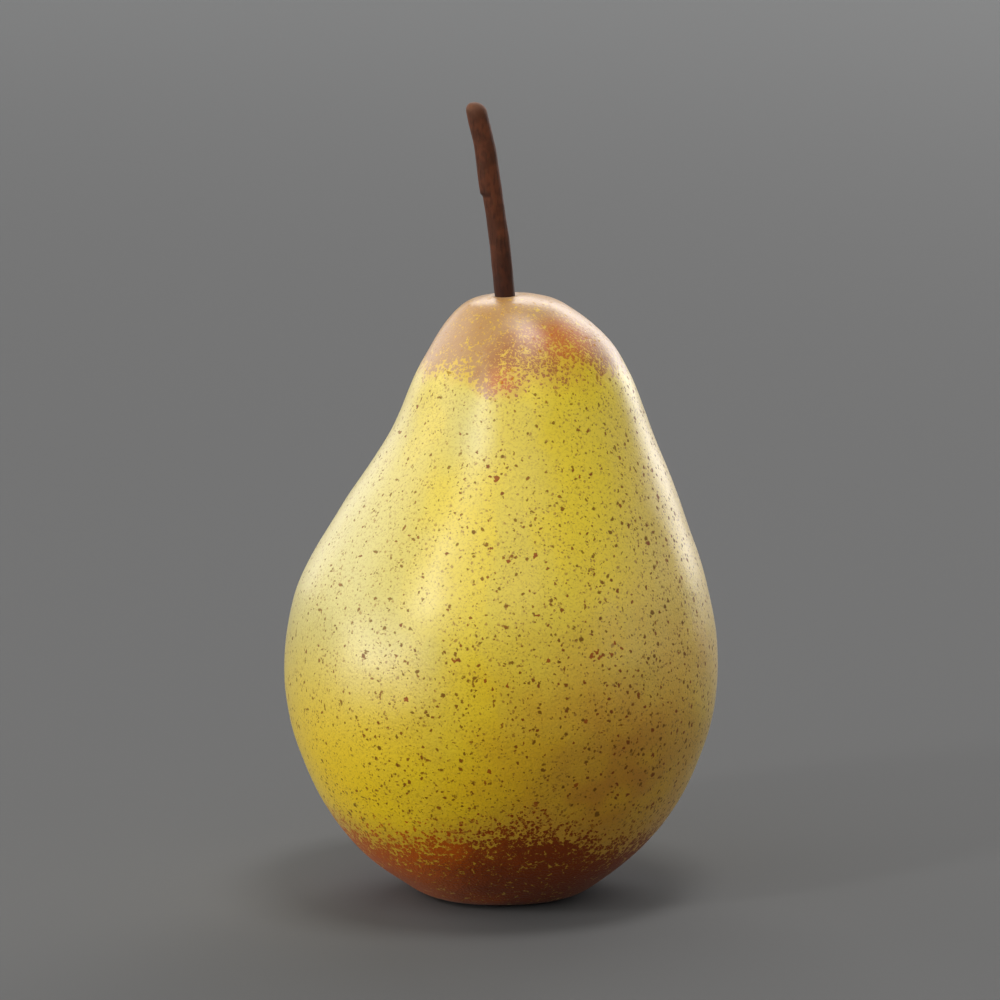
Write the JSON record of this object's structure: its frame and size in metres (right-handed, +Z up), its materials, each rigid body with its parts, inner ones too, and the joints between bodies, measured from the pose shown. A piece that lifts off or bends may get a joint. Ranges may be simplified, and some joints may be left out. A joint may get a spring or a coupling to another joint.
{
  "type": "pear",
  "caption": "Ripe yellow pear with a russet crown and base, a woody stem and a dried calyx, standing on its blossom end.",
  "frame": {"origin": "on the surface that the pear stands on, under the middle of its belly", "axes": "+Z up through the stem, -Y to the front of the pear as it is pictured, +X to the right, the way its neck leans"},
  "size_m": [0.075, 0.075, 0.1382],
  "materials": {
    "pear_skin": "ripe pear skin, satin, yellow with fine brown specks and russet at both ends",
    "stem_bark": "matt reddish brown bark",
    "dried_calyx": "dry and matt, dark brown"
  },
  "bodies": {
    "root": {"fruit": "pear_skin", "stem": "stem_bark", "calyx": "dried_calyx"}
  },
  "joints": []
}
